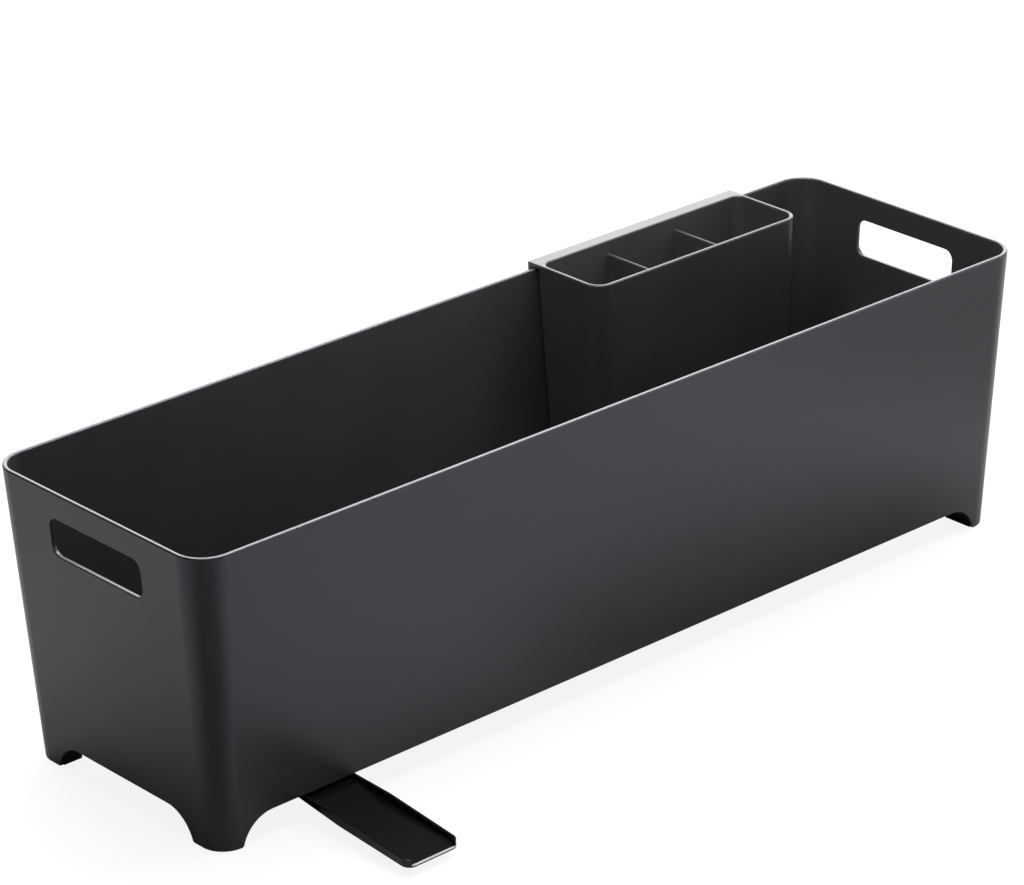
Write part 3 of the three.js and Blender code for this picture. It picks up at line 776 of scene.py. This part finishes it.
def grid():
    half_x = half_length(GRID_UNDERSIDE) - WALL - GRID_CLEARANCE - GRID_FRAME / 2
    half_y = half_width(GRID_UNDERSIDE) - WALL - GRID_CLEARANCE - GRID_FRAME / 2
    height = (GRID_UNDERSIDE, GRID_TOP)

    def bar_across(x, width):
        return block((x - width / 2, x + width / 2), (-half_y, half_y), height, GRID_ROUND)

    bars_each_way = int(half_x // GRID_BAR_PITCH)
    places = [index * GRID_BAR_PITCH for index in range(-bars_each_way, bars_each_way + 1)]
    bars = [bar_across(x, GRID_BAR) for x in places]
    stringers = []
    for index in range(GRID_STRINGERS):
        y = (index - (GRID_STRINGERS - 1) / 2) * GRID_STRINGER_PITCH
        span = (y - GRID_STRINGER / 2, y + GRID_STRINGER / 2)
        stringers.append(block((-half_x, half_x), span, height, GRID_ROUND))
    rails, fingers = [], []
    for row in range(FINGER_ROWS):
        x = FINGER_ROW_FROM_END - RIM_LENGTH / 2 + row * FINGER_ROW_SPACING
        rails.append(bar_across(x, 2 * FINGER_ROOT_RADIUS))
        for index in range(FINGERS_EACH_ROW):
            fingers.append(moved(finger(), x, (index - (FINGERS_EACH_ROW - 1) / 2) * FINGER_PITCH))
    layers = [gathered(pieces) for pieces in (bars, stringers, rails, fingers)]
    return combined(grid_frame(), "UNION", *layers)


# Finishes

def shader_node(nodes, kind, settings):
    """Adds a node of a kind, and sets some of its inputs by name."""
    node = nodes.new(kind)
    for name, value in settings.items():
        node.inputs[name].default_value = value
    return node


def moulded(colour, roughness, tint, shine, grain):
    """Moulded plastic or rubber: a fine grain, and slow changes of tone and gloss over its surface."""
    material = bpy.data.materials.new("moulded_surface")
    material.use_nodes = True
    nodes, link = material.node_tree.nodes, material.node_tree.links.new
    surface = nodes["Principled BSDF"]
    surface.inputs["Base Color"].default_value = (*colour, 1)
    surface.inputs["Roughness"].default_value = roughness
    surface.inputs["Specular Tint"].default_value = (*tint, 1)
    surface.inputs["Specular IOR Level"].default_value = shine

    place = nodes.new("ShaderNodeTexCoord").outputs["Object"]
    slow = shader_node(nodes, "ShaderNodeTexNoise", {"Scale": SLOW_NOISE_SCALE, "Detail": SLOW_NOISE_DETAIL})
    link(place, slow.inputs["Vector"])

    tone = nodes.new("ShaderNodeValToRGB")
    for element, position, share in zip(tone.color_ramp.elements, SLOW_NOISE_RANGE, TONE_SHARES):
        element.position = position
        element.color = (*[value * share for value in colour], 1)
    link(slow.outputs["Fac"], tone.inputs["Fac"])
    link(tone.outputs["Color"], surface.inputs["Base Color"])

    low, high = SLOW_NOISE_RANGE
    glossy, matt = [roughness * share for share in ROUGHNESS_SHARES]
    gloss = shader_node(nodes, "ShaderNodeMapRange", {
        "From Min": low, "From Max": high, "To Min": glossy, "To Max": matt,
    })
    link(slow.outputs["Fac"], gloss.inputs["Value"])
    link(gloss.outputs["Result"], surface.inputs["Roughness"])

    depth, size = grain
    fine = shader_node(nodes, "ShaderNodeTexNoise", {"Scale": 1 / (size * MM), "Detail": GRAIN_DETAIL})
    link(place, fine.inputs["Vector"])
    bump = shader_node(nodes, "ShaderNodeBump", {"Distance": depth * MM})
    link(fine.outputs["Fac"], bump.inputs["Height"])
    link(bump.outputs["Normal"], surface.inputs["Normal"])
    return material


finishes = {slot: moulded(*look) for slot, look in FINISHES.items()}


# Pieces

def bend(edge):
    """The angle between an edge's two faces. An open edge counts as sharp."""
    return edge.calc_face_angle(math.pi) if len(edge.link_faces) == 2 else math.pi


def add_piece(name, mesh, node, body, slot):
    """Smooths a mesh in millimetres, puts it in the model's place, and lets it stand for its node."""
    with edited(mesh) as work:
        weld(work)
        for face in work.faces:
            face.smooth = True
        for edge in work.edges:
            edge.smooth = bend(edge) < SMOOTH_ANGLE
    mesh.transform(Matrix.Scale(MM, 4) @ Matrix.Translation((0, -ORIGIN_Y, 0)))
    mesh.materials.clear()
    mesh.materials.append(finishes[slot])
    piece = bpy.data.objects.new(name, mesh)
    bpy.context.scene.collection.objects.link(piece)
    shading = piece.modifiers.new("even_shading", "WEIGHTED_NORMAL")
    shading.keep_sharp = True
    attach(piece, body)
    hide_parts(node)
    return piece


def softened(node, rounding):
    """A CAD node's own mesh in millimetres, with its sharp edges rounded."""
    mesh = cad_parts[node].data.copy()
    mesh.transform(Matrix.Translation((0, ORIGIN_Y, 0)) @ Matrix.Scale(1 / MM, 4))
    with edited(mesh) as work:
        weld(work)
        bmesh.ops.dissolve_limit(work, angle_limit=FLAT_ANGLE, verts=work.verts, edges=work.edges)
        bmesh.ops.bevel(
            work, geom=[edge for edge in work.edges if bend(edge) > SHARP_ANGLE], offset=rounding,
            offset_type="OFFSET", segments=ROUND_STEPS, profile=1 / 2, affect="EDGES",
            clamp_overlap=False, loop_slide=True,
        )
    return mesh


add_piece("basket_moulding", basket(), "basket_body", "rack", "basket_plastic")
add_piece("cutlery_holder_moulding", holder(), "cutlery_holder", "holder", "holder_plastic")
add_piece("drain_grid_moulding", grid(), "drain_grid", "grid", "grid_plastic")
add_piece("drain_spout_moulding", spout(), "drain_spout", "spout", "spout_plastic")
add_piece("spout_seal_ring", softened("spout_seal", PAD_ROUND), "spout_seal", "rack", "seal_rubber")
for corner in ("front_left", "front_right", "back_left", "back_right"):
    node = f"foot_pad_{corner}"
    add_piece(f"{node}_rubber", softened(node, PAD_ROUND), node, "rack", "pad_rubber")


# Camera and studio

def direction(azimuth, elevation):
    """The way from the rack to an azimuth, which is zero in front and grows to the right."""
    level = math.cos(elevation)
    return Vector((math.sin(azimuth) * level, -math.cos(azimuth) * level, math.sin(elevation)))


def make_camera():
    back = direction(CAMERA_AZIMUTH, CAMERA_ELEVATION)
    level = Vector((math.cos(CAMERA_AZIMUTH), math.sin(CAMERA_AZIMUTH), 0))
    raised = back.cross(level)
    right = level * math.cos(CAMERA_ROLL) + raised * math.sin(CAMERA_ROLL)
    up = raised * math.cos(CAMERA_ROLL) - level * math.sin(CAMERA_ROLL)
    aim = Vector((0, -ORIGIN_Y, CAMERA_AIM_HEIGHT))
    eye = aim + back * CAMERA_DISTANCE + right * CAMERA_SLIDE + up * CAMERA_LIFT
    data = bpy.data.cameras.new("camera")
    data.lens = CAMERA_LENS
    data.sensor_width = SENSOR_WIDTH
    data.sensor_fit = "HORIZONTAL"
    camera = bpy.data.objects.new("camera", data)
    camera.matrix_world = Matrix.Translation(eye * MM) @ Matrix((right, up, back)).transposed().to_4x4()
    bpy.context.scene.collection.objects.link(camera)
    bpy.context.scene.camera = camera


def faded(nodes, link, place, middle, reach):
    """A value that falls from 1 at a middle on the floor to 0 at its reach along x and y, in metres."""
    scaled = shader_node(nodes, "ShaderNodeMapping", {"Location": (*middle, 0), "Scale": (*reach, 1)})
    scaled.vector_type = "TEXTURE"
    link(place, scaled.inputs["Vector"])
    fall = nodes.new("ShaderNodeTexGradient")
    fall.gradient_type = "SPHERICAL"
    link(scaled.outputs["Vector"], fall.inputs["Vector"])
    return fall.outputs["Fac"]


def make_floor():
    """A pale floor that looks white to the camera and keeps a faint shadow."""
    material = bpy.data.materials.new("studio_floor")
    material.use_nodes = True
    nodes, link = material.node_tree.nodes, material.node_tree.links.new
    nodes.clear()
    place = nodes.new("ShaderNodeTexCoord").outputs["Object"]
    albedo = nodes.new("ShaderNodeValue").outputs["Value"]
    albedo.default_value = STAGE_ALBEDO
    # Painted shade: each patch darkens the floor that the walls reflect, and the camera sees none of it.
    for middle, reach, share in PAINTED_SHADE_PATCHES.values():
        shade_patch = shader_node(nodes, "ShaderNodeMapRange", {
            "From Max": SHADE_PATCH_EDGE_SHARE, "To Min": 1, "To Max": share,
        })
        link(faded(nodes, link, place, middle, reach), shade_patch.inputs["Value"])
        darkened = nodes.new("ShaderNodeMath")
        darkened.operation = "MULTIPLY"
        link(shade_patch.outputs["Result"], darkened.inputs[0])
        link(albedo, darkened.inputs[1])
        albedo = darkened.outputs["Value"]
    lit = nodes.new("ShaderNodeBsdfDiffuse")
    link(albedo, lit.inputs["Color"])

    grey = STAGE_SEEN_ALBEDO
    shaded = shader_node(nodes, "ShaderNodeBsdfDiffuse", {"Color": (grey, grey, grey, 1)})
    near, far = STAGE_FADE
    level = shader_node(nodes, "ShaderNodeMapRange", {
        "From Max": 1 - near / far, "To Min": WHITE, "To Max": STAGE_GLOW,
    })
    link(faded(nodes, link, place, (0, 0), (far, far)), level.inputs["Value"])
    glow = nodes.new("ShaderNodeEmission")
    link(level.outputs["Result"], glow.inputs["Strength"])
    seen = nodes.new("ShaderNodeAddShader")
    link(shaded.outputs[0], seen.inputs[0])
    link(glow.outputs[0], seen.inputs[1])
    choose_for_camera(nodes, link, lit, seen, nodes.new("ShaderNodeOutputMaterial"))

    half = STAGE_SIZE / 2
    corners = [(-half, -half, 0), (half, -half, 0), (half, half, 0), (-half, half, 0)]
    mesh = bpy.data.meshes.new("studio_floor")
    mesh.from_pydata(corners, [], [(0, 1, 2, 3)])
    mesh.materials.append(material)
    floor = bpy.data.objects.new("studio_floor", mesh)
    floor.location.z = -STAGE_GAP * MM
    bpy.context.scene.collection.objects.link(floor)


def choose_for_camera(nodes, link, other_rays, camera_rays, output):
    """Shows one shader to the camera and another to all other rays."""
    ray = nodes.new("ShaderNodeLightPath")
    choice = nodes.new("ShaderNodeMixShader")
    link(ray.outputs["Is Camera Ray"], choice.inputs["Fac"])
    link(other_rays.outputs[0], choice.inputs[1])
    link(camera_rays.outputs[0], choice.inputs[2])
    link(choice.outputs[0], output.inputs["Surface"])


def add_softbox(name, place, aim, size, radiance):
    """A rectangular lamp that shines at the given radiance, and that the camera doesn't see."""
    data = bpy.data.lights.new(name, "AREA")
    data.shape = "RECTANGLE"
    width, height = size
    data.size, data.size_y = width, height
    data.energy = radiance * math.pi * width * height
    lamp = bpy.data.objects.new(name, data)
    lamp.location = place
    lamp.rotation_euler = (aim - place).to_track_quat("-Z", "Y").to_euler()
    lamp.visible_camera = False
    bpy.context.scene.collection.objects.link(lamp)


def make_studio():
    aim = Vector((0, -ORIGIN_Y, RIM_HEIGHT / 2)) * MM
    for name, (azimuth, elevation, distance, size, radiance) in SOFTBOXES.items():
        away = direction(math.radians(azimuth), math.radians(elevation))
        add_softbox(name, aim + away * distance, aim, size, radiance)
    for name, (height, radiance) in STRIPS.items():
        place = Vector((STRIP_X, -ORIGIN_Y * MM, height))
        add_softbox(name, place, Vector((place.x, place.y, 0)), STRIP_SIZE, radiance)
    world = bpy.data.worlds.new("studio")
    world.use_nodes = True
    nodes, link = world.node_tree.nodes, world.node_tree.links.new
    nodes.clear()
    dark = shader_node(nodes, "ShaderNodeBackground", {"Color": (0, 0, 0, 1)})
    white = shader_node(nodes, "ShaderNodeBackground", {"Color": (1, 1, 1, 1)})
    choose_for_camera(nodes, link, dark, white, nodes.new("ShaderNodeOutputWorld"))
    bpy.context.scene.world = world


make_camera()
make_floor()
make_studio()
bpy.context.scene.view_settings.view_transform = "Standard"

spent = [mesh for mesh in bpy.data.meshes if not mesh.users]
for mesh in spent:
    bpy.data.meshes.remove(mesh)
